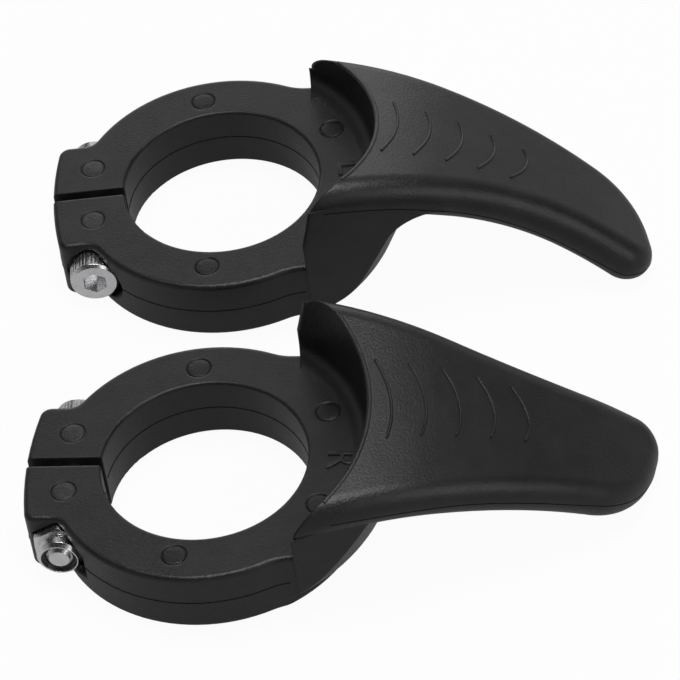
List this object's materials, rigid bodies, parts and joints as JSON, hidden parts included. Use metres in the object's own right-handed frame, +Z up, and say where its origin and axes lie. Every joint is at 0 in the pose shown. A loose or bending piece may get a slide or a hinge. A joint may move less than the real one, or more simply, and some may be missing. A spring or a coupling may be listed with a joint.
{
  "type": "pair of bar ends",
  "caption": "Left and right clip-on handlebar bar ends: split clamp ring with cross screw and lock nut, and a curved wing-shaped hand rest that rises from the ring and sweeps down to its tip.",
  "frame": {"origin": "centre of the pair's footprint, on the surface that both hands lie on", "axes": "+Z up from that surface, +X from the clamp rings towards the wings' tips, left hand towards +Y"},
  "size_m": [0.0732, 0.0762, 0.02],
  "materials": {
    "black_nylon": "fine-grained satin moulding",
    "screw_steel": "bright zinc plating",
    "nut_steel": "bright zinc plating",
    "ring_nylon": "smooth dark nylon"
  },
  "bodies": {
    "root": {"left_body": "black_nylon", "left_clamp_screw": "screw_steel", "left_lock_nut": "nut_steel", "left_locking_ring": "ring_nylon", "right_body": "black_nylon", "right_clamp_screw": "screw_steel", "right_lock_nut": "nut_steel", "right_locking_ring": "ring_nylon"}
  },
  "joints": []
}
